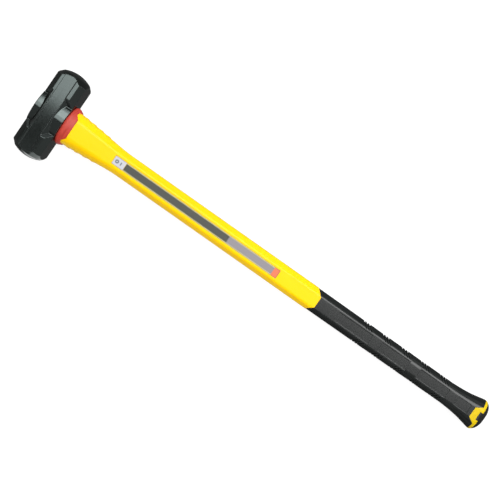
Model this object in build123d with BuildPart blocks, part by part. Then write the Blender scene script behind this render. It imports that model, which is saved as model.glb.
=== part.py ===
from build123d import *
import os

# A long-handled sledgehammer lying on its side on a flat surface.
#
# Frame: +X runs from the head to the butt of the handle, +Y is the striking
# axis and +Z is up. The origin is on the surface, under the middle of the
# whole tool. Sizes are millimetres. Places along the handle are distances
# from the top of the head, so X = HEAD_TOP_X + distance.

os.makedirs("parts", exist_ok=True)

# ---- driving dimensions ----
TOTAL_LENGTH = 914.4          # a 36 inch tool, head top to butt
HEAD_LENGTH = 164.6           # between the two striking faces
HEAD_ACROSS = 57.4            # across the flats of the bar
HEAD_BEVEL = 10.9             # leg of the 45 degree bevels along the bar
STRIKING_RADIUS = 24.9        # crowned middle of a striking face
STRIKING_CROWN = 55.5         # radius of the crown
END_CONE_RISE = 1.04          # axial depth of the end cone per mm of radius
END_BLEND = 3.0               # blend between the crown and the cone
BAR_EDGE_RADIUS = 2.0         # rounding of the edges along the bar
CHANNEL_WIDTH = 23.8          # shallow channel along each cheek
CHANNEL_DEPTH = 1.2
CHANNEL_SHIFT = -0.6          # the channel sits a little towards the head top
EYE_PAD_HALF_LENGTH = 36.6    # pad round the eye on the handle side
EYE_PAD_RISE = 0.4            # how far it stands above the flats beside it

BOSS_HALF_LENGTH = 27.1       # eye boss, half length along the bar
BOSS_CREST = 25.6             # height of the boss above the head axis
BOSS_EDGE = 19.2              # height of the boss at its two ends
SCALLOP_HALF_LENGTH = 38.1    # where the facets beside the boss meet the cheek
SCALLOP_MARGIN = 5.0          # how far the scallop's cutter goes past the metal
SPINE_TO_HANDLE = 9.3         # half widths of the spine between the two scallops
SPINE_TO_TOP = 14.2
SPINE_SLOPE = 0.87            # run of the spine's flanks per mm of drop

EYE_TOP_HALF_Y = 21.0         # oval eye at the head top, half sizes
EYE_TOP_HALF_Z = 14.5
EYE_LOW_HALF_Y = 18.5         # oval eye at the handle side, half sizes
EYE_LOW_HALF_Z = 12.5

CORE_HALF_Y = 15.0            # fibreglass core, half sizes
CORE_HALF_Z = 10.0
CORE_CORNER = 8.5
CORE_START = 3.0              # the core stops just below the head top
CORE_END = 886.0
RESIN_RECESS = 1.5            # the resin stops just below the head top

# Overstrike collar: distance beyond the head and half sizes of its oval.
COLLAR_STATIONS = [
    (0.0, 33.4, 20.6),
    (1.4, 35.0, 21.8),
    (4.2, 35.8, 22.3),
    (8.4, 34.8, 21.6),
    (13.2, 32.5, 20.2),
    (19.0, 31.6, 19.5),
]
COLLAR_CORNER_LENGTH = 10.6   # length beyond the head at the slanting corners
COLLAR_FACE_LENGTH = 17.9     # length of the tongues on the broad faces
COLLAR_FACE_TIP = 18.5        # half width of a broad tongue at its tip
COLLAR_FACE_ROOT = 26.0       # half width of a broad tongue at its root
COLLAR_SIDE_LENGTH = 13.2     # length of the tongues on the narrow sides
COLLAR_SIDE_TIP = 6.0         # half width of a narrow tongue at its tip
COLLAR_SIDE_ROOT = 8.6        # half width of a narrow tongue at its root
SPIGOT_HALF_Y = 23.0          # part of the jacket inside the collar
SPIGOT_HALF_Z = 14.0
SPIGOT_CORNER = 6.0

# Neck of the jacket: distance, half width, half height, corner radius.
NECK_STATIONS = [
    (68.0, 30.9, 18.8, 15.0),
    (94.0, 28.6, 18.1, 13.0),
    (121.0, 26.1, 17.2, 10.5),
    (149.0, 23.2, 16.5, 8.0),
    (177.0, 21.3, 16.2, 6.2),
]
RIB_COUNT = 4                 # small raised ribs on each side of the neck
RIB_START = 82.4
RIB_PITCH = 15.9
RIB_LENGTH = 5.0
RIB_HEIGHT = 0.7
RIB_HALF_DEPTH = 7.0

SHAFT_END = 568.0             # where the grip begins at the two sides
SHAFT_END_HALF_Y = 20.8       # half width of the shaft there
TONGUE_END = 579.3            # the jacket's tongues reach further into the grip
TONGUE_TIP = 9.6              # half width of a tongue at its tip
TONGUE_ROOT = 20.6            # half width of a tongue at its root
TAIL_HALF_Y = 17.3            # jacket under the grip, half sizes
TAIL_HALF_Z = 12.8
TAIL_CORNER = 4.0
TAIL_END = 890.0

# Grip: distance, half width, half height, corner radius.
GRIP_STATIONS = [
    (SHAFT_END, 20.2, 15.9, 4.8),
    (640.0, 19.9, 15.7, 4.8),
    (746.0, 19.5, 15.4, 5.2),
    (832.0, 19.3, 15.3, 7.5),
]
FLARE_STATIONS = [
    (832.0, 19.3, 15.3, 7.5),
    (851.0, 19.9, 15.8, 9.5),
    (867.0, 21.3, 16.8, 11.5),
    (882.0, 23.7, 18.8, 13.5),
    (891.0, 25.7, 20.4, 15.0),
    (899.0, 27.3, 21.7, 16.0),
]
RING_STATIONS = [
    (899.0, 27.3, 21.7, 16.0),
    (901.6, 27.2, 21.6, 16.6),
    (904.0, 25.9, 20.5, 16.6),
]
DOME_STATIONS = [
    (904.0, 25.9, 20.5, 16.6),
    (907.5, 23.0, 18.2, 14.8),
    (910.3, 19.2, 15.2, 12.3),
    (912.4, 14.0, 11.1, 9.0),
    (913.7, 8.0, 6.3, 5.1),
    (TOTAL_LENGTH, 2.2, 1.7, 1.3),
]
PANEL_DEPTH = 0.9             # recessed panels on the broad faces of the grip
PANEL_HALF_WIDTH = 8.3
PANEL_CORNER = 1.0
BAND_CORNER = 12.0            # softer corners of the bands between the panels
PANELS = [(618.0, 685.3), (704.6, 760.4), (781.4, 839.1), (857.4, 881.8)]
GROOVE_GROUPS = 5             # groups of slanting grooves on the grip's edges
GROOVES_PER_GROUP = 3
GROOVE_START = 655.5
GROOVE_GROUP_PITCH = 38.3
GROOVE_DEPTH = 1.7
GROOVE_PITCH = 5.2
GROOVE_WIDTH = 2.7
GROOVE_RUN = 13.0             # how far a groove runs along the grip
GROOVE_INNER = 11.4           # half width where the grooves end
GROOVE_OUTER = 24.0

RING_TAB_START = 888.4        # tip of the ring's tabs
RING_TAB_TIP = 9.1            # half width of a tab at its tip
RING_TAB_ROOT = 16.2          # half width of a tab at the ring
KEY_DEPTH = 5.2               # how far the cap's keys reach into the ring
KEY_HALF_WIDTH = 7.5

STICKER_START = 161.8         # decals on the broad faces of the jacket
STICKER_END = 184.4
LABEL_START = 184.8
LABEL_END = 499.0
LABEL_HALF_WIDTH = 7.9
LABEL_THICKNESS = 0.40
LABEL_POCKET = 0.25

FLAT_SHARE_Y = 0.63           # share of a half width taken by the flat
FLAT_SHARE_Z = 0.44

# ---- values worked out from them ----
HEAD_TOP_X = -TOTAL_LENGTH / 2
AXIS_Z = HEAD_ACROSS / 2
HEAD_HALF = HEAD_ACROSS / 2
HEAD_FLAT = HEAD_HALF - HEAD_BEVEL
HEAD_X = HEAD_TOP_X + HEAD_HALF
HEAD_BOTTOM = HEAD_ACROSS     # distance of the head's handle-side face
COLLAR_END = HEAD_BOTTOM + COLLAR_FACE_LENGTH
JACKET_START = HEAD_BOTTOM + COLLAR_CORNER_LENGTH
SHAFT_HALF_Z = NECK_STATIONS[-1][2]
SHAFT_CORNER = NECK_STATIONS[-1][3]
RING_START = RING_STATIONS[0][0]
RING_END = RING_STATIONS[-1][0]
MIDDLE = Plane(origin=(0, 0, AXIS_Z))
THROUGH = 60.0                # longer than the handle is thick, for through cuts
JOIN = 0.5                    # overlap that joins two solids of one piece


def across(distance):
    """Plane across the handle: local x is +Y and local y is +Z."""
    return Plane(origin=(HEAD_TOP_X + distance, 0, AXIS_Z), x_dir=(0, 1, 0), z_dir=(1, 0, 0))


def plan(height=0.0):
    """Plane seen from above: local x is the distance from the head top."""
    return Plane(origin=(HEAD_TOP_X, 0, AXIS_Z + height))


def handle_section(distance, half_y, half_z, corner):
    """Octagon with rounded corners across the handle."""
    flat_y = half_y * FLAT_SHARE_Y
    flat_z = half_z * FLAT_SHARE_Z
    with BuildSketch(across(distance)) as section:
        with BuildLine():
            Polyline(
                (half_y, -flat_z),
                (half_y, flat_z),
                (flat_y, half_z),
                (-flat_y, half_z),
                (-half_y, flat_z),
                (-half_y, -flat_z),
                (-flat_y, -half_z),
                (flat_y, -half_z),
                close=True,
            )
        make_face()
        fillet(section.vertices(), corner)
    return section.sketch


def shaft_outline(distance):
    """Section of the bare shaft at its thin end."""
    return handle_section(distance, SHAFT_END_HALF_Y, SHAFT_HALF_Z, SHAFT_CORNER)


def tail_outline(distance):
    """Section of the jacket under the grip."""
    return handle_section(distance, TAIL_HALF_Y, TAIL_HALF_Z, TAIL_CORNER)


def handle_loft(stations, grow=0.0, smooth=True):
    """Solid through the given stations, grown or shrunk all round."""
    sections = [handle_section(d, y + grow, z + grow, corner) for d, y, z, corner in stations]
    with BuildPart() as body:
        loft(sections, ruled=not smooth)
    return body.part


def trapezoid_prism(start, end, start_half, end_half):
    """Trapezoid in plan, cut or kept through the whole thickness."""
    with BuildPart() as body:
        with BuildSketch(plan(-THROUGH / 2)):
            with BuildLine():
                Polyline(
                    (start, -start_half),
                    (end, -end_half),
                    (end, end_half),
                    (start, start_half),
                    close=True,
                )
            make_face()
        extrude(amount=THROUGH)
    return body.part


# ---- hammer head ----
def end_profile():
    """Turned envelope of the bar: crowned faces, blended into a cone."""
    face = HEAD_LENGTH / 2
    reach = HEAD_ACROSS
    crown_drop = STRIKING_CROWN - (STRIKING_CROWN**2 - STRIKING_RADIUS**2) ** 0.5
    cone_end = face - crown_drop - (reach - STRIKING_RADIUS) * END_CONE_RISE
    with BuildPart() as envelope:
        with BuildSketch(Plane(origin=(HEAD_X, 0, AXIS_Z))) as profile:
            with BuildLine():
                RadiusArc((0, face), (STRIKING_RADIUS, face - crown_drop), STRIKING_CROWN)
                Line((STRIKING_RADIUS, face - crown_drop), (reach, cone_end))
                Line((reach, cone_end), (reach, -cone_end))
                Line((reach, -cone_end), (STRIKING_RADIUS, crown_drop - face))
                RadiusArc((STRIKING_RADIUS, crown_drop - face), (0, -face), STRIKING_CROWN)
                Line((0, -face), (0, face))
            make_face()
            crown_ends = profile.vertices().group_by(Axis.X)[1]
            fillet(crown_ends, END_BLEND)
        revolve(axis=Axis((HEAD_X, 0, AXIS_Z), (0, 1, 0)))
    return envelope.part


def eye_scallop(side, spine_edge):
    """Pocket beside the spine, over the eye, on one side of the upper cheek."""
    top = HEAD_HALF + SCALLOP_MARGIN
    facet = (SCALLOP_HALF_LENGTH - BOSS_HALF_LENGTH) / (HEAD_HALF - BOSS_EDGE)
    mouth = BOSS_HALF_LENGTH + facet * (top - BOSS_EDGE)
    floor = BOSS_EDGE - SCALLOP_MARGIN
    run_up = spine_edge - SPINE_SLOPE * (top - HEAD_HALF)
    run_down = spine_edge + SPINE_SLOPE * (HEAD_HALF - floor)
    along_x = Plane(origin=(HEAD_X, 0, AXIS_Z), x_dir=(0, 1, 0), z_dir=(1, 0, 0))
    along_y = Plane(origin=(HEAD_X, 0, AXIS_Z), x_dir=(1, 0, 0), z_dir=(0, -1, 0))
    with BuildPart() as pocket:
        with BuildSketch(along_x):
            with BuildLine():
                ThreePointArc(
                    (-BOSS_HALF_LENGTH, BOSS_EDGE),
                    (0, BOSS_CREST),
                    (BOSS_HALF_LENGTH, BOSS_EDGE),
                )
                Polyline(
                    (BOSS_HALF_LENGTH, BOSS_EDGE),
                    (mouth, top),
                    (-mouth, top),
                    (-BOSS_HALF_LENGTH, BOSS_EDGE),
                )
            make_face()
        extrude(amount=side * HEAD_ACROSS)
        with BuildSketch(along_y):
            with BuildLine():
                Polyline(
                    (side * run_up, top),
                    (side * run_down, floor),
                    (side * HEAD_ACROSS, floor),
                    (side * HEAD_ACROSS, top),
                    close=True,
                )
            make_face()
        extrude(amount=HEAD_ACROSS, both=True, mode=Mode.INTERSECT)
    return pocket.part


def oval_eye(start, end, grow_y, grow_z):
    """Tapered oval passage through the head, or a part of its length."""
    share_start = start / HEAD_ACROSS
    share_end = end / HEAD_ACROSS
    with BuildPart() as passage:
        for distance, share in ((start, share_start), (end, share_end)):
            with BuildSketch(across(distance)):
                Ellipse(
                    EYE_TOP_HALF_Y + (EYE_LOW_HALF_Y - EYE_TOP_HALF_Y) * share + grow_y,
                    EYE_TOP_HALF_Z + (EYE_LOW_HALF_Z - EYE_TOP_HALF_Z) * share + grow_z,
                )
        loft()
    return passage.part


def eye_boss():
    """Rounded block over the eye, as wide as the bar, bulging above its bevels."""
    with BuildPart() as block:
        with BuildSketch(across(0.0)):
            with BuildLine():
                ThreePointArc(
                    (-BOSS_HALF_LENGTH, BOSS_EDGE),
                    (0, BOSS_CREST),
                    (BOSS_HALF_LENGTH, BOSS_EDGE),
                )
                Line((BOSS_HALF_LENGTH, BOSS_EDGE), (BOSS_HALF_LENGTH, -BOSS_EDGE))
                ThreePointArc(
                    (BOSS_HALF_LENGTH, -BOSS_EDGE),
                    (0, -BOSS_CREST),
                    (-BOSS_HALF_LENGTH, -BOSS_EDGE),
                )
                Line((-BOSS_HALF_LENGTH, -BOSS_EDGE), (-BOSS_HALF_LENGTH, BOSS_EDGE))
            make_face()
        extrude(amount=HEAD_ACROSS)
    return block.part


def cheek_channel(face_sign):
    """Shallow channel with sloping sides along one cheek."""
    mouth = CHANNEL_WIDTH / 2 + CHANNEL_DEPTH
    floor = CHANNEL_WIDTH / 2 - CHANNEL_DEPTH
    middle = Plane(
        origin=(HEAD_X + CHANNEL_SHIFT, 0, AXIS_Z), x_dir=(1, 0, 0), z_dir=(0, -1, 0)
    )
    with BuildPart() as channel:
        with BuildSketch(middle):
            with BuildLine():
                Polyline(
                    (-mouth, face_sign * (HEAD_HALF + CHANNEL_DEPTH)),
                    (-floor, face_sign * (HEAD_HALF - CHANNEL_DEPTH)),
                    (floor, face_sign * (HEAD_HALF - CHANNEL_DEPTH)),
                    (mouth, face_sign * (HEAD_HALF + CHANNEL_DEPTH)),
                    close=True,
                )
            make_face()
        extrude(amount=HEAD_LENGTH, both=True)
    return channel.part


def beside_eye_pad():
    """Thin slabs that lower the handle-side flats beside the eye pad."""
    with BuildPart() as slabs:
        with BuildSketch(across(HEAD_BOTTOM - EYE_PAD_RISE)):
            for side in (1, -1):
                with Locations((side * (EYE_PAD_HALF_LENGTH + HEAD_LENGTH / 2), 0)):
                    Rectangle(HEAD_LENGTH, 2 * HEAD_ACROSS)
        extrude(amount=HEAD_ACROSS)
    return slabs.part


handle_side_scallop = eye_scallop(1, SPINE_TO_HANDLE)
top_side_scallop = eye_scallop(-1, SPINE_TO_TOP)
eye = oval_eye(0.0, HEAD_ACROSS, 0.0, 0.0)

with BuildPart() as hammer_head:
    with BuildSketch(Plane(origin=(HEAD_X, 0, AXIS_Z), x_dir=(1, 0, 0), z_dir=(0, -1, 0))) as bar:
        with BuildLine():
            Polyline(
                (HEAD_HALF, -HEAD_FLAT),
                (HEAD_HALF, HEAD_FLAT),
                (HEAD_FLAT, HEAD_HALF),
                (-HEAD_FLAT, HEAD_HALF),
                (-HEAD_HALF, HEAD_FLAT),
                (-HEAD_HALF, -HEAD_FLAT),
                (-HEAD_FLAT, -HEAD_HALF),
                (HEAD_FLAT, -HEAD_HALF),
                close=True,
            )
        make_face()
        fillet(bar.vertices(), BAR_EDGE_RADIUS)
    extrude(amount=HEAD_LENGTH / 2, both=True)
    add(end_profile(), mode=Mode.INTERSECT)
    for scallop in (handle_side_scallop, top_side_scallop):
        add(scallop, mode=Mode.SUBTRACT)
        add(mirror(scallop, about=MIDDLE, mode=Mode.PRIVATE), mode=Mode.SUBTRACT)
    add(eye_boss())
    for face_sign in (1, -1):
        add(cheek_channel(face_sign), mode=Mode.SUBTRACT)
    add(beside_eye_pad(), mode=Mode.SUBTRACT)
    add(eye, mode=Mode.SUBTRACT)
hammer_head.part.label = "hammer_head"
export_step(hammer_head.part, "parts/hammer_head.step")


# ---- fibreglass core and the resin that holds it in the eye ----
def core_solid(start, end):
    """Rounded bar of the core between two distances."""
    with BuildPart() as bar_of_glass:
        with BuildSketch(across(start)):
            RectangleRounded(2 * CORE_HALF_Y, 2 * CORE_HALF_Z, CORE_CORNER)
        extrude(amount=end - start)
    return bar_of_glass.part


with BuildPart() as fibreglass_core:
    add(core_solid(CORE_START, CORE_END))
fibreglass_core.part.label = "fibreglass_core"
export_step(fibreglass_core.part, "parts/fibreglass_core.step")

with BuildPart() as eye_resin:
    add(oval_eye(RESIN_RECESS, HEAD_ACROSS, 0.0, 0.0))
    add(core_solid(CORE_START, HEAD_ACROSS), mode=Mode.SUBTRACT)
eye_resin.part.label = "eye_resin"
export_step(eye_resin.part, "parts/eye_resin.step")


# ---- overstrike collar ----
def collar_outline(distance, half_y, half_z):
    """Oval section of the collar."""
    with BuildSketch(across(distance)) as section:
        Ellipse(half_y, half_z)
    return section.sketch


def narrow_tongues():
    """Trapezoid seen from the striking side, reaching along the narrow sides."""
    side_on = Plane(origin=(HEAD_TOP_X, 0, AXIS_Z), x_dir=(1, 0, 0), z_dir=(0, -1, 0))
    tip = HEAD_BOTTOM + COLLAR_SIDE_LENGTH
    with BuildPart() as body:
        with BuildSketch(side_on):
            with BuildLine():
                Polyline(
                    (JACKET_START - JOIN, -COLLAR_SIDE_ROOT),
                    (tip, -COLLAR_SIDE_TIP),
                    (tip, COLLAR_SIDE_TIP),
                    (JACKET_START - JOIN, COLLAR_SIDE_ROOT),
                    close=True,
                )
            make_face()
        extrude(amount=THROUGH, both=True)
    return body.part


def collar_envelope():
    """What the collar may fill: a band at the head and four tongues."""
    with BuildPart() as envelope:
        with BuildSketch(across(HEAD_BOTTOM)):
            Rectangle(2 * THROUGH, THROUGH)
        extrude(amount=COLLAR_CORNER_LENGTH)
        add(trapezoid_prism(JACKET_START - JOIN, COLLAR_END, COLLAR_FACE_ROOT, COLLAR_FACE_TIP))
        add(narrow_tongues())
    return envelope.part


def spigot(start, end):
    """Part of the jacket that fits inside the collar."""
    with BuildPart() as plug:
        with BuildSketch(across(start)):
            RectangleRounded(2 * SPIGOT_HALF_Y, 2 * SPIGOT_HALF_Z, SPIGOT_CORNER)
        extrude(amount=end - start)
    return plug.part


with BuildPart() as overstrike_collar:
    loft([collar_outline(HEAD_BOTTOM + beyond, y, z) for beyond, y, z in COLLAR_STATIONS])
    add(collar_envelope(), mode=Mode.INTERSECT)
    add(spigot(HEAD_BOTTOM, COLLAR_END), mode=Mode.SUBTRACT)
overstrike_collar.part.label = "overstrike_collar"
export_step(overstrike_collar.part, "parts/overstrike_collar.step")


# ---- handle jacket ----
def neck_ribs():
    """Small raised ribs on the two narrow sides of the neck."""
    last = RIB_START + (RIB_COUNT - 1) * RIB_PITCH + RIB_LENGTH
    with BuildPart() as ribs:
        add(handle_loft(NECK_STATIONS, grow=RIB_HEIGHT))
        with BuildSketch(plan(-RIB_HALF_DEPTH)):
            for number in range(RIB_COUNT):
                with Locations((RIB_START + number * RIB_PITCH, 0)):
                    Rectangle(RIB_LENGTH, THROUGH * 2)
            with Locations(((RIB_START + last) / 2, 0)):
                Rectangle(last, 2 * TAIL_HALF_Y, mode=Mode.SUBTRACT)
        extrude(amount=2 * RIB_HALF_DEPTH, mode=Mode.INTERSECT)
    return ribs.part


def grip_tongues():
    """Trapezoid by which the jacket reaches into the grip."""
    return trapezoid_prism(SHAFT_END - JOIN, TONGUE_END, TONGUE_ROOT, TONGUE_TIP)


with BuildPart() as shaft_tongues:
    extrude(shaft_outline(SHAFT_END - JOIN), amount=TONGUE_END - SHAFT_END + JOIN)
    add(grip_tongues(), mode=Mode.INTERSECT)

with BuildPart() as handle_jacket:
    add(handle_loft(NECK_STATIONS))
    loft([handle_section(*NECK_STATIONS[-1]), shaft_outline(SHAFT_END)], ruled=True)
    add(neck_ribs())
    add(shaft_tongues.part)
    extrude(tail_outline(SHAFT_END), amount=TAIL_END - SHAFT_END)
    add(collar_envelope(), mode=Mode.SUBTRACT)
    add(spigot(HEAD_BOTTOM, COLLAR_END))
    add(core_solid(HEAD_BOTTOM, TAIL_END), mode=Mode.SUBTRACT)
    for face_height in (SHAFT_HALF_Z - LABEL_POCKET, -THROUGH):
        with BuildSketch(plan(face_height)):
            with Locations(((STICKER_START + LABEL_END) / 2, 0)):
                Rectangle(LABEL_END - STICKER_START, 2 * LABEL_HALF_WIDTH)
        extrude(amount=THROUGH - SHAFT_HALF_Z + LABEL_POCKET, mode=Mode.SUBTRACT)
handle_jacket.part.label = "handle_jacket"
export_step(handle_jacket.part, "parts/handle_jacket.step")


# ---- grip sleeve ----
def ring_tabs():
    """Trapezoids by which the butt ring reaches into the grip."""
    return trapezoid_prism(RING_TAB_START, RING_START + JOIN, RING_TAB_TIP, RING_TAB_ROOT)


def groove_cutters():
    """Slanting bars seen from above, mirrored on the two edges of the grip."""
    with BuildPart() as cutters:
        with BuildSketch(plan(-THROUGH / 2)):
            for group in range(GROOVE_GROUPS):
                for groove in range(GROOVES_PER_GROUP):
                    start = GROOVE_START + group * GROOVE_GROUP_PITCH + groove * GROOVE_PITCH
                    for edge in (1, -1):
                        with BuildLine():
                            Polyline(
                                (start, edge * GROOVE_OUTER),
                                (start + GROOVE_RUN, edge * GROOVE_INNER),
                                (start + GROOVE_RUN + GROOVE_WIDTH, edge * GROOVE_INNER),
                                (start + GROOVE_WIDTH, edge * GROOVE_OUTER),
                                close=True,
                            )
                        make_face()
        extrude(amount=THROUGH)
    return cutters.part


def panel_cutters():
    """Rectangles of the recessed panels, through the whole grip."""
    with BuildPart() as cutters:
        with BuildSketch(plan(-THROUGH / 2)):
            for start, end in PANELS:
                with Locations(((start + end) / 2, 0)):
                    RectangleRounded(end - start, 2 * PANEL_HALF_WIDTH, PANEL_CORNER)
        extrude(amount=THROUGH)
    return cutters.part


def band_cutters():
    """What rounds the corners of the bands between the panels of the straight grip."""
    rounder = [(d, y, z, BAND_CORNER) for d, y, z, _ in GRIP_STATIONS]
    straight_panels = [panel for panel in PANELS if panel[0] < GRIP_STATIONS[-1][0]]
    with BuildPart() as boxes:
        for (_, before), (after, _) in zip(straight_panels, straight_panels[1:]):
            with BuildSketch(across(before)):
                Rectangle(THROUGH, THROUGH)
            extrude(amount=after - before)
        add(handle_loft(rounder, smooth=False), mode=Mode.SUBTRACT)
    return boxes.part


def relief(cutters, depth):
    """The cutters, kept from going deeper than depth into the grip."""
    with BuildPart() as shallow:
        add(cutters)
        add(handle_loft(GRIP_STATIONS, grow=-depth, smooth=False), mode=Mode.SUBTRACT)
        add(handle_loft(FLARE_STATIONS, grow=-depth), mode=Mode.SUBTRACT)
    return shallow.part


with BuildPart() as tail_bore:
    extrude(tail_outline(SHAFT_END), amount=RING_END - SHAFT_END)

with BuildPart() as grip_sleeve:
    add(handle_loft(GRIP_STATIONS, smooth=False))
    add(handle_loft(FLARE_STATIONS))
    add(band_cutters(), mode=Mode.SUBTRACT)
    add(relief(groove_cutters(), GROOVE_DEPTH), mode=Mode.SUBTRACT)
    add(relief(panel_cutters(), PANEL_DEPTH), mode=Mode.SUBTRACT)
    add(grip_tongues(), mode=Mode.SUBTRACT)
    add(ring_tabs(), mode=Mode.SUBTRACT)
    add(tail_bore.part, mode=Mode.SUBTRACT)
grip_sleeve.part.label = "grip_sleeve"
export_step(grip_sleeve.part, "parts/grip_sleeve.step")


# ---- butt ring and butt cap ----
def cap_keys():
    """Rectangular keys of the cap that sit in notches of the ring."""
    return trapezoid_prism(RING_END - KEY_DEPTH, RING_END, KEY_HALF_WIDTH, KEY_HALF_WIDTH)


with BuildPart() as butt_ring:
    add(handle_loft(FLARE_STATIONS))
    add(ring_tabs(), mode=Mode.INTERSECT)
    add(handle_loft(RING_STATIONS))
    add(cap_keys(), mode=Mode.SUBTRACT)
    add(tail_bore.part, mode=Mode.SUBTRACT)
butt_ring.part.label = "butt_ring"
export_step(butt_ring.part, "parts/butt_ring.step")

with BuildPart() as butt_cap:
    add(handle_loft(RING_STATIONS))
    add(cap_keys(), mode=Mode.INTERSECT)
    add(handle_loft(DOME_STATIONS))
    extrude(tail_outline(TAIL_END), amount=RING_END - TAIL_END)
butt_cap.part.label = "butt_cap"
export_step(butt_cap.part, "parts/butt_cap.step")


# ---- decals ----
def decal(name, start, end, underside):
    """Thin printed film lying in the pocket of one broad face."""
    bottom = SHAFT_HALF_Z - LABEL_POCKET
    if underside:
        bottom = -bottom - LABEL_THICKNESS
    with BuildPart() as film:
        with BuildSketch(plan(bottom)):
            with Locations(((start + end) / 2, 0)):
                Rectangle(end - start, 2 * LABEL_HALF_WIDTH)
        extrude(amount=LABEL_THICKNESS)
    film.part.label = name
    export_step(film.part, f"parts/{name}.step")


decal("front_size_sticker", STICKER_START, STICKER_END, False)
decal("front_label", LABEL_START, LABEL_END, False)
decal("back_size_sticker", STICKER_START, STICKER_END, True)
decal("back_label", LABEL_START, LABEL_END, True)
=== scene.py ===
"""Looks of a long-handled sledgehammer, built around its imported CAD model."""

from math import atan, cos, radians, sin

import bpy
from mathutils import Matrix, Vector


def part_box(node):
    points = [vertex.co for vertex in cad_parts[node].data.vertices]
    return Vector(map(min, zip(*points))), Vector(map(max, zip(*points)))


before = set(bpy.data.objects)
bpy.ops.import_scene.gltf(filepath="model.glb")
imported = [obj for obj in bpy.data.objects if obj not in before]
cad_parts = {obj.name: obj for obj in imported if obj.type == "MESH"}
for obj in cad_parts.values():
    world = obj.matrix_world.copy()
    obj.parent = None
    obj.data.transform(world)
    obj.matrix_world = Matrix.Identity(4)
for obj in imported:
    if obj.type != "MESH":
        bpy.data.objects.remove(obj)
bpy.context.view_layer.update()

# ---- places taken from the frame, in metres ----
head_low, head_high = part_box("hammer_head")
label_low, label_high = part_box("front_label")
sticker_low, sticker_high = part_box("front_size_sticker")
head_middle = (Vector(head_low) + Vector(head_high)) / 2
AXIS_Z = head_middle.z


# ---- node helpers ----
FIRST_COLOUR, SECOND_COLOUR, MIXED_COLOUR = 6, 7, 2     # a mix node's colour sockets
EDGE_SAMPLES = 6               # rays by which a soft edge is found
# At the first agreement the painted edge highlight is full; at the second it is gone.
FULL_HIGHLIGHT_EDGE, NO_HIGHLIGHT_FLAT = 0.72, 0.995    # agreement of the soft and the true direction


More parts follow.
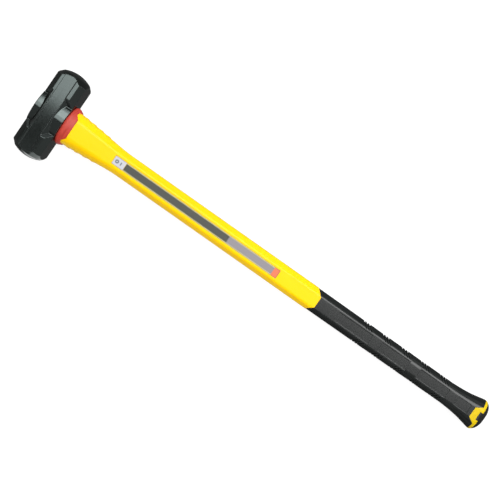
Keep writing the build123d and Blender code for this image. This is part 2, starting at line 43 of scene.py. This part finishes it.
class Tree:
    """Short way to build a material's nodes."""

    def __init__(self, name):
        self.material = bpy.data.materials.new(name)
        self.material.use_nodes = True
        self.nodes = self.material.node_tree.nodes
        self.links = self.material.node_tree.links
        self.shader = self.nodes["Principled BSDF"]
        self.position = self.nodes.new("ShaderNodeTexCoord").outputs["Object"]

    def put(self, socket, value):
        """Links an output to a socket, or sets the socket's own value."""
        if isinstance(value, bpy.types.NodeSocket):
            self.links.new(value, socket)
        elif isinstance(value, (tuple, list)) and len(value) == 3 and socket.type == "RGBA":
            socket.default_value = (*value, 1.0)
        else:
            socket.default_value = value

    def set(self, **values):
        """Sets sockets of the main shader by name, with _ for spaces."""
        for name, value in values.items():
            self.put(self.shader.inputs[name.replace("_", " ")], value)

    def scaled(self, scale):
        """Object position, stretched."""
        node = self.nodes.new("ShaderNodeMapping")
        node.inputs["Scale"].default_value = scale
        self.links.new(self.position, node.inputs["Vector"])
        return node.outputs["Vector"]

    def noise(self, scale, detail, roughness, vector=None):
        """Soft noise, 0 to 1."""
        node = self.nodes.new("ShaderNodeTexNoise")
        node.inputs["Scale"].default_value = scale
        node.inputs["Detail"].default_value = detail
        node.inputs["Roughness"].default_value = roughness
        self.links.new(vector or self.position, node.inputs["Vector"])
        return node.outputs["Fac"]

    def cells(self, scale):
        """Distance from the middle of a grain."""
        node = self.nodes.new("ShaderNodeTexVoronoi")
        node.inputs["Scale"].default_value = scale
        self.links.new(self.position, node.inputs["Vector"])
        return node.outputs["Distance"]

    def math(self, operation, a, b=0.0):
        """One arithmetic step on sockets or numbers."""
        node = self.nodes.new("ShaderNodeMath")
        node.operation = operation
        self.put(node.inputs[0], a)
        self.put(node.inputs[1], b)
        return node.outputs[0]

    def axis(self, letter):
        """One coordinate of the object position, in metres."""
        node = self.nodes.new("ShaderNodeSeparateXYZ")
        self.links.new(self.position, node.inputs[0])
        return node.outputs[letter]

    def between(self, value, low, high):
        """1 where low < value < high."""
        above = self.math("GREATER_THAN", value, low)
        below = self.math("LESS_THAN", value, high)
        return self.math("MULTIPLY", above, below)

    def ramp(self, value, stops):
        """Colour ramp through (place, colour) stops."""
        node = self.nodes.new("ShaderNodeValToRGB")
        elements = node.color_ramp.elements
        while len(elements) < len(stops):
            elements.new(0.5)
        for element, (place, colour) in zip(elements, stops):
            element.position = place
            element.color = (*colour, 1.0)
        self.links.new(value, node.inputs["Fac"])
        return node.outputs["Color"]

    def range(self, value, low, high, new_low, new_high):
        """Maps low..high to new_low..new_high, and stays inside it."""
        node = self.nodes.new("ShaderNodeMapRange")
        node.clamp = True
        self.put(node.inputs["Value"], value)
        node.inputs["From Min"].default_value = low
        node.inputs["From Max"].default_value = high
        node.inputs["To Min"].default_value = new_low
        node.inputs["To Max"].default_value = new_high
        return node.outputs["Result"]

    def mix(self, factor, a, b):
        """Colour a where the factor is 0, and b where it is 1."""
        node = self.nodes.new("ShaderNodeMix")
        node.data_type = "RGBA"
        self.put(node.inputs["Factor"], factor)
        self.put(node.inputs[FIRST_COLOUR], a)
        self.put(node.inputs[SECOND_COLOUR], b)
        return node.outputs[MIXED_COLOUR]

    def bump(self, height, strength, distance, under=None):
        """Surface direction with fine relief, laid over another one."""
        node = self.nodes.new("ShaderNodeBump")
        node.inputs["Strength"].default_value = strength
        node.inputs["Distance"].default_value = distance
        self.links.new(height, node.inputs["Height"])
        if under is not None:
            self.links.new(under, node.inputs["Normal"])
        return node.outputs["Normal"]

    def rounded(self, radius):
        """Surface direction with the sharp edges softened."""
        node = self.nodes.new("ShaderNodeBevel")
        node.samples = EDGE_SAMPLES
        node.inputs["Radius"].default_value = radius
        return node.outputs["Normal"]

    def edge_highlight_mask(self, radius):
        """Grows from 0 on flats towards 1 on sharp edges: the mask for painted edge highlights.
        """
        plain = self.nodes.new("ShaderNodeNewGeometry").outputs["Normal"]
        node = self.nodes.new("ShaderNodeVectorMath")
        node.operation = "DOT_PRODUCT"
        self.links.new(plain, node.inputs[0])
        self.links.new(self.rounded(radius), node.inputs[1])
        return self.range(node.outputs["Value"], FULL_HIGHLIGHT_EDGE, NO_HIGHLIGHT_FLAT, 1.0, 0.0)


# ---- materials ----
def head_material():
    """Glossy black coating over forged steel, a little uneven, with a painted greenish-grey
    highlight on its edges.
    """
    t = Tree("head_coating")
    broad = t.noise(22.0, 4.0, 0.55)
    streak = t.noise(70.0, 4.0, 0.6, t.scaled((2.0, 0.25, 1.0)))
    fine = t.noise(900.0, 3.0, 0.6)
    peel = t.noise(260.0, 2.0, 0.5)
    black = t.ramp(broad, [(0.30, (0.0036, 0.0042, 0.0037)), (0.72, (0.0064, 0.0072, 0.0066))])
    # Painted highlight: the sharp edges are lightened to greenish grey, with a little fine grain
    # mixed in.
    edge_highlight_and_texture = t.math("ADD", t.edge_highlight_mask(0.0013), t.math("MULTIPLY", fine, 0.10))
    head_edge_highlight = t.range(edge_highlight_and_texture, 0.10, 0.42, 0.0, 0.75)
    t.set(Base_Color=t.mix(head_edge_highlight, black, (0.075, 0.082, 0.079)), Metallic=0.0)
    t.set(Specular_IOR_Level=0.78, Specular_Tint=(0.84, 1.0, 0.97))
    patchy = t.math("ADD", t.math("MULTIPLY", streak, 0.6), t.math("MULTIPLY", fine, 0.4))
    t.set(Roughness=t.range(patchy, 0.3, 0.7, 0.09, 0.13))
    t.set(Normal=t.bump(fine, 0.06, 0.00003, t.bump(peel, 0.08, 0.0001, t.rounded(0.0016))))
    return t.material


def jacket_material():
    """Smooth moulded yellow plastic with a faint flow texture."""
    t = Tree("jacket_plastic")
    flow = t.noise(14.0, 4.0, 0.5, t.scaled((0.35, 1.0, 1.0)))
    fine = t.noise(1400.0, 2.0, 0.5)
    wave = t.noise(90.0, 2.0, 0.5)
    tint = t.ramp(flow, [(0.30, (0.94, 0.56, 0.001)), (0.70, (1.0, 0.615, 0.002))])
    t.set(Base_Color=tint, Specular_IOR_Level=0.15)
    t.set(Roughness=t.range(fine, 0.3, 0.7, 0.22, 0.32))
    t.set(Normal=t.bump(fine, 0.15, 0.00004, t.bump(wave, 0.12, 0.0003, t.rounded(0.0012))))
    return t.material


def collar_material():
    """Satin red plastic with faint streaks along the striking axis and a painted pink highlight
    on its edges.
    """
    t = Tree("collar_plastic")
    streak = t.noise(160.0, 3.0, 0.6, t.scaled((2.2, 0.25, 1.0)))
    fine = t.noise(1500.0, 2.0, 0.5)
    tint = t.ramp(streak, [(0.30, (0.38, 0.036, 0.024)), (0.70, (0.50, 0.056, 0.038))])
    # Painted highlight: the sharp edges are lightened to pink, mixed with a little of the
    # streaks.
    edge_highlight_and_texture = t.math("ADD", t.edge_highlight_mask(0.0010), t.math("MULTIPLY", streak, 0.15))
    collar_edge_highlight = t.range(edge_highlight_and_texture, 0.12, 0.5, 0.0, 0.6)
    t.set(Base_Color=t.mix(collar_edge_highlight, tint, (0.62, 0.16, 0.12)))
    t.set(Roughness=t.range(streak, 0.3, 0.7, 0.36, 0.50), Specular_IOR_Level=0.25)
    t.set(Normal=t.bump(fine, 0.25, 0.00006, t.bump(streak, 0.2, 0.0002, t.rounded(0.0008))))
    return t.material


def grip_material():
    """Charcoal rubber with a fine moulded grain and a painted highlight along its edges."""
    t = Tree("grip_rubber")
    broad = t.noise(30.0, 4.0, 0.6)
    grain = t.cells(900.0)
    speck = t.noise(2200.0, 2.0, 0.6)
    tint = t.ramp(broad, [(0.30, (0.0065, 0.0078, 0.0075)), (0.72, (0.0115, 0.0132, 0.0127))])
    # Painted highlight: the sharp edges are lightened to grey, with a little of the grain mixed
    # in.
    edge_highlight_and_texture = t.math("ADD", t.edge_highlight_mask(0.0011), t.math("MULTIPLY", grain, 0.10))
    grip_edge_highlight = t.range(edge_highlight_and_texture, 0.10, 0.45, 0.0, 0.8)
    t.set(Base_Color=t.mix(grip_edge_highlight, tint, (0.045, 0.049, 0.048)), Specular_IOR_Level=0.40)
    t.set(Roughness=t.range(grain, 0.0, 0.9, 0.16, 0.23))
    t.set(Normal=t.bump(grain, 0.10, 0.00006, t.bump(speck, 0.10, 0.00004, t.rounded(0.0011))))
    return t.material


def plain_plastic(name, dark, light, rough, grain=1200.0, level=0.4):
    """Moulded plastic or rubber with a little colour variation."""
    t = Tree(name)
    broad = t.noise(40.0, 4.0, 0.55)
    fine = t.noise(grain, 2.0, 0.5)
    t.set(Base_Color=t.ramp(broad, [(0.3, dark), (0.7, light)]), Specular_IOR_Level=level)
    t.set(Roughness=t.range(fine, 0.3, 0.7, rough - 0.05, rough + 0.06))
    t.set(Normal=t.bump(fine, 0.25, 0.00006, t.rounded(0.0008)))
    return t.material


def fibreglass_material():
    """Sawn end of a fibreglass bar, with its strands showing as specks."""
    t = Tree("fibreglass")
    strands = t.cells(1600.0)
    cloud = t.noise(120.0, 3.0, 0.5)
    tint = t.ramp(strands, [(0.15, (0.60, 0.56, 0.42)), (0.70, (0.80, 0.77, 0.64))])
    t.set(Base_Color=t.mix(t.math("MULTIPLY", cloud, 0.35), tint, (0.45, 0.38, 0.22)))
    t.set(Roughness=t.range(strands, 0.0, 0.8, 0.45, 0.7), Normal=t.bump(strands, 0.4, 0.0001))
    return t.material


def resin_material():
    """Amber casting resin."""
    t = Tree("resin")
    cloud = t.noise(80.0, 4.0, 0.6)
    ripple = t.noise(240.0, 2.0, 0.5)
    t.set(Base_Color=t.ramp(cloud, [(0.3, (0.16, 0.10, 0.035)), (0.7, (0.30, 0.21, 0.09))]))
    t.set(Roughness=t.range(cloud, 0.3, 0.7, 0.12, 0.24), Normal=t.bump(ripple, 0.3, 0.0004))
    t.set(Coat_Weight=0.4, Coat_Roughness=0.08)
    return t.material


OUTLINE = (0.065, 0.050, 0.008)   # printed outline of both decals
OUTLINE_WIDTH = 0.0006
BORDER_WIDTH = 0.0013          # cream line inside the outline of the dark field
DARK_FIELD_END = 0.3968        # distances from the head top to the fields' ends
LIGHT_FIELD_END = 0.4881


def label_material():
    """Printed film: a dark field in a cream line, then a light grey and an orange one."""
    t = Tree("label_film")
    x, y = t.axis("X"), t.axis("Y")
    speck = t.noise(1800.0, 2.0, 0.5)
    edge = (label_high[1] - label_low[1]) / 2 - OUTLINE_WIDTH
    inside = edge - BORDER_WIDTH
    dark_end = head_low[0] + DARK_FIELD_END
    light_end = head_low[0] + LIGHT_FIELD_END
    dark = t.ramp(speck, [(0.3, (0.030, 0.033, 0.025)), (0.7, (0.044, 0.047, 0.036))])
    light = t.ramp(speck, [(0.3, (0.20, 0.185, 0.20)), (0.7, (0.24, 0.222, 0.24))])
    orange = t.ramp(speck, [(0.3, (0.62, 0.13, 0.05)), (0.7, (0.70, 0.16, 0.065))])
    fields = t.mix(t.math("GREATER_THAN", x, dark_end), dark, light)
    framed = t.mix(t.between(y, -inside, inside), (0.52, 0.48, 0.18), fields)
    fields = t.mix(t.math("GREATER_THAN", x, light_end), framed, orange)
    printed = t.math(
        "MULTIPLY",
        t.between(y, -edge, edge),
        t.math("LESS_THAN", x, label_high[0] - OUTLINE_WIDTH),
    )
    t.set(Base_Color=t.mix(printed, OUTLINE, fields))
    t.set(Roughness=t.range(speck, 0.3, 0.7, 0.28, 0.36))
    t.set(Normal=t.bump(speck, 0.1, 0.00003))
    return t.material


RING_MARK_RADIUS = 0.0033      # plain ring printed on the sticker
RING_MARK_WIDTH = 0.0019
RING_MARK_PLACE = -0.0042      # its middle, from the middle of the sticker
BAR_MARK = (0.0028, 0.0047)    # start and end of the bar beside it
BAR_MARK_HALF = 0.0027


def sticker_material():
    """Pale film with a plain ring and a bar."""
    t = Tree("sticker_film")
    x, y = t.axis("X"), t.axis("Y")
    speck = t.noise(1800.0, 2.0, 0.5)
    edge = (sticker_high[1] - sticker_low[1]) / 2 - OUTLINE_WIDTH
    middle = (sticker_high[0] + sticker_low[0]) / 2
    from_ring = t.math("SUBTRACT", x, middle + RING_MARK_PLACE)
    squares = t.math("ADD", t.math("MULTIPLY", from_ring, from_ring), t.math("MULTIPLY", y, y))
    radius = t.math("SQRT", squares)
    ring = t.between(radius, RING_MARK_RADIUS - RING_MARK_WIDTH, RING_MARK_RADIUS)
    bar = t.math(
        "MULTIPLY",
        t.between(x, middle + BAR_MARK[0], middle + BAR_MARK[1]),
        t.between(y, -BAR_MARK_HALF, BAR_MARK_HALF),
    )
    pale = t.ramp(speck, [(0.3, (0.46, 0.47, 0.52)), (0.7, (0.52, 0.53, 0.57))])
    marked = t.mix(t.math("MAXIMUM", ring, bar), pale, (0.055, 0.075, 0.095))
    printed = t.math(
        "MULTIPLY",
        t.between(y, -edge, edge),
        t.math("GREATER_THAN", x, sticker_low[0] + OUTLINE_WIDTH),
    )
    t.set(Base_Color=t.mix(printed, OUTLINE, marked))
    t.set(Roughness=t.range(speck, 0.3, 0.7, 0.28, 0.36))
    t.set(Normal=t.bump(speck, 0.1, 0.00003))
    return t.material


MATERIALS = {
    "hammer_head": head_material(),
    "handle_jacket": jacket_material(),
    "overstrike_collar": collar_material(),
    "grip_sleeve": grip_material(),
    "butt_ring": plain_plastic(
        "ring_plastic", (0.60, 0.42, 0.002), (0.68, 0.49, 0.004), 0.34, level=0.15
    ),
    "butt_cap": plain_plastic(
        "cap_rubber", (0.007, 0.007, 0.0065), (0.012, 0.012, 0.0115), 0.30, 900.0
    ),
    "fibreglass_core": fibreglass_material(),
    "eye_resin": resin_material(),
    "front_label": label_material(),
    "front_size_sticker": sticker_material(),
}
MATERIALS["back_label"] = MATERIALS["front_label"]
MATERIALS["back_size_sticker"] = MATERIALS["front_size_sticker"]

for node, material in MATERIALS.items():
    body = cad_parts[node]
    body.data.materials.clear()
    body.data.materials.append(material)

# ---- camera: nearly square to the broad face, turned in its own plane ----
HANDLE_SLOPE = radians(35.14)       # how far the handle runs down to the right
VIEW_ROLL = 0.055                   # radians; the end at +Y is turned a little towards the camera
VIEW_TILT = 0.048                   # radians; so is the butt
VIEW_DISTANCE = 1.6174              # from the middle of the head
VIEW_ALONG = 0.4071                 # aim, from the middle of the head towards the butt
VIEW_ACROSS = 0.00595
FIELD_HALF = 0.4256                 # half of the view's width at that distance
SENSOR = 36.0

handle_way = Vector((1, 0, 0))
outward = Vector((0, sin(VIEW_ROLL), cos(VIEW_ROLL)))
towards_plus_y = Vector((0, cos(VIEW_ROLL), -sin(VIEW_ROLL)))
along = cos(VIEW_TILT) * handle_way - sin(VIEW_TILT) * outward
towards_camera = sin(VIEW_TILT) * handle_way + cos(VIEW_TILT) * outward
right = cos(HANDLE_SLOPE) * along + sin(HANDLE_SLOPE) * towards_plus_y
up = cos(HANDLE_SLOPE) * towards_plus_y - sin(HANDLE_SLOPE) * along
eye_point = (
    Vector((head_middle.x, 0, AXIS_Z))
    + VIEW_ALONG * along
    + VIEW_ACROSS * towards_plus_y
    + VIEW_DISTANCE * towards_camera
)
camera_data = bpy.data.cameras.new("camera")
camera_data.sensor_width = SENSOR
camera_data.angle = 2 * atan(FIELD_HALF / VIEW_DISTANCE)
camera = bpy.data.objects.new("camera", camera_data)
turned = Matrix((right, up, towards_camera)).transposed().to_4x4()
camera.matrix_world = Matrix.Translation(eye_point) @ turned
bpy.context.scene.collection.objects.link(camera)
bpy.context.scene.camera = camera


# ---- floor and lights ----
FLOOR_HALF = 30.0              # half of the floor's side
FLOOR_GLOW = 0.90              # keeps the pale floor nearly white
WORLD_STRENGTH = 0.12          # dim white light from all round

# Soft panels: name, place, aim, size and power. The end card lies below the
# floor, which isn't seen in reflections, and so it shows only in the gloss.
LIGHTS = [
    ("overhead", (0.48, 0.942, 2.2), (0.48, 0.942, 0), (3.44, 2.05), 87.0),
    ("bright_middle", (0.50, 0.84, 2.1), (0.50, 0.84, 0), (3.40, 0.94), 23.0),
    ("dim_side", (0, -1.385, 2.2), (0, -1.385, 0), (3.4, 2.23), 5.0),
    ("low_fill", (0, -2.6, 0.62), (0, 0, 0.03), (3.4, 1.1), 2.5),
    ("far_side", (0, 2.6, 1.0), (0, 0, 0.03), (3.4, 1.6), 8.0),
    ("handle_side", (2.6, 0.7, 0.9), (0, 0, 0.03), (2.4, 1.6), 3.5),
    ("end_card", (-0.43, -1.2, -1.6), (-0.43, 0, -1.6), (1.0, 3.0), 12.0),
]


def floor_piece():
    """Large pale floor under the tool."""
    half = FLOOR_HALF
    mesh = bpy.data.meshes.new("floor")
    corners = [(-half, -half, 0), (half, -half, 0), (half, half, 0), (-half, half, 0)]
    mesh.from_pydata(corners, [], [(0, 1, 2, 3)])
    piece = bpy.data.objects.new("floor", mesh)
    bpy.context.scene.collection.objects.link(piece)
    t = Tree("floor_paper")
    grain = t.noise(60.0, 3.0, 0.5)
    t.set(Base_Color=t.ramp(grain, [(0.3, (0.20, 0.20, 0.20)), (0.7, (0.22, 0.22, 0.22))]))
    t.set(Roughness=0.9, Specular_IOR_Level=0.1)
    t.set(Emission_Color=(1.0, 1.0, 1.0), Emission_Strength=FLOOR_GLOW)
    mesh.materials.append(t.material)
    piece.visible_glossy = False


def soft_box(name, place, aim, size, power):
    """Rectangular area light aimed at a point."""
    data = bpy.data.lights.new(name, "AREA")
    data.shape = "RECTANGLE"
    data.size, data.size_y = size
    data.energy = power
    light = bpy.data.objects.new(name, data)
    light.location = place
    light.rotation_euler = (Vector(aim) - Vector(place)).to_track_quat("-Z", "Y").to_euler()
    light.visible_camera = False
    bpy.context.scene.collection.objects.link(light)


floor_piece()
for light in LIGHTS:
    soft_box(*light)

world = bpy.data.worlds.new("studio")
world.use_nodes = True
background = world.node_tree.nodes["Background"]
background.inputs["Color"].default_value = (1.0, 1.0, 1.0, 1.0)
background.inputs["Strength"].default_value = WORLD_STRENGTH
bpy.context.scene.world = world
bpy.context.scene.view_settings.view_transform = "Standard"
